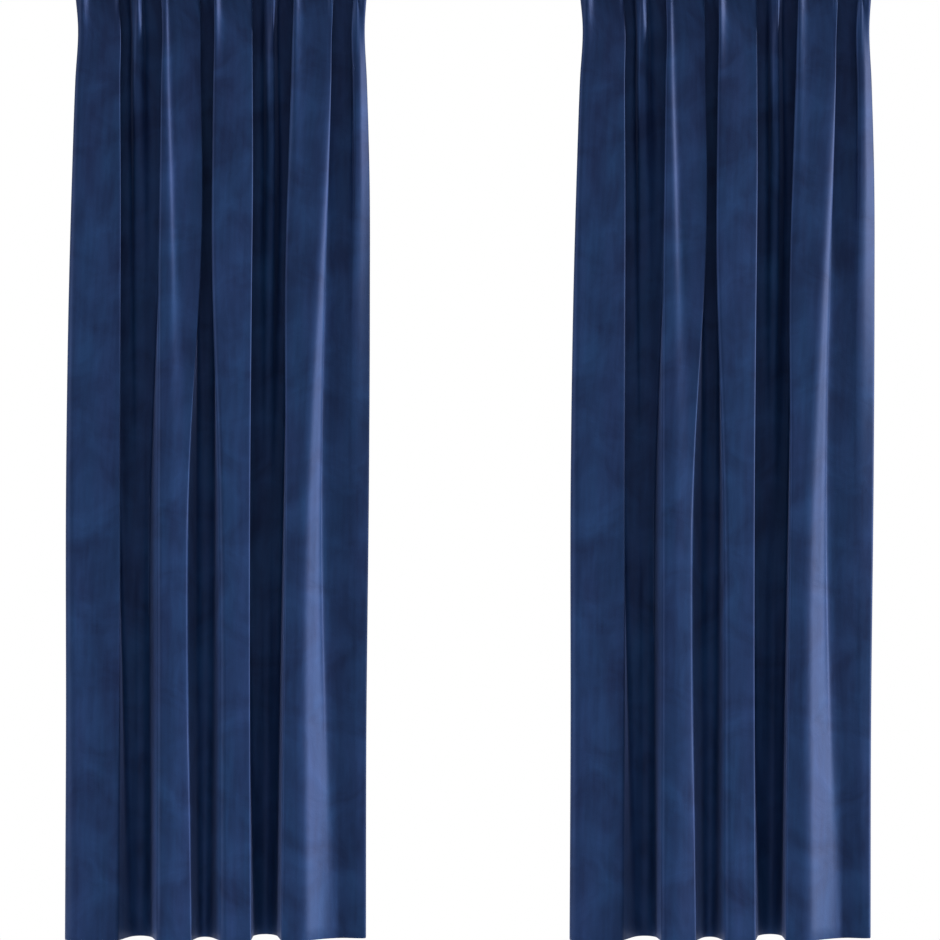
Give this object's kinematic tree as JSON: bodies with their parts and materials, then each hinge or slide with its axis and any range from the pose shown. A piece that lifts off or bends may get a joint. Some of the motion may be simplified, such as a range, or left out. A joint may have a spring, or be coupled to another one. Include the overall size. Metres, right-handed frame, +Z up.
{
  "type": "pair of gathered blackout curtains",
  "caption": "Pair of floor-length velvet blackout curtains, each hanging in deep soft folds from a gathered heading.",
  "frame": {"origin": "middle of the horizontal line that both panels hang from, level with their top edges and halfway between them", "axes": "+Z up along the drop, +X to the viewer's right along the hanging line, +Y away from the viewer towards the window"},
  "size_m": [2.1039, 0.1572, 2.4502],
  "materials": {
    "velvet_left": "cut pile, matt with a soft sheen",
    "velvet_right": "cut pile, matt with a soft sheen"
  },
  "bodies": {
    "root": {"panel_left": "velvet_left", "panel_right": "velvet_right"}
  },
  "joints": []
}
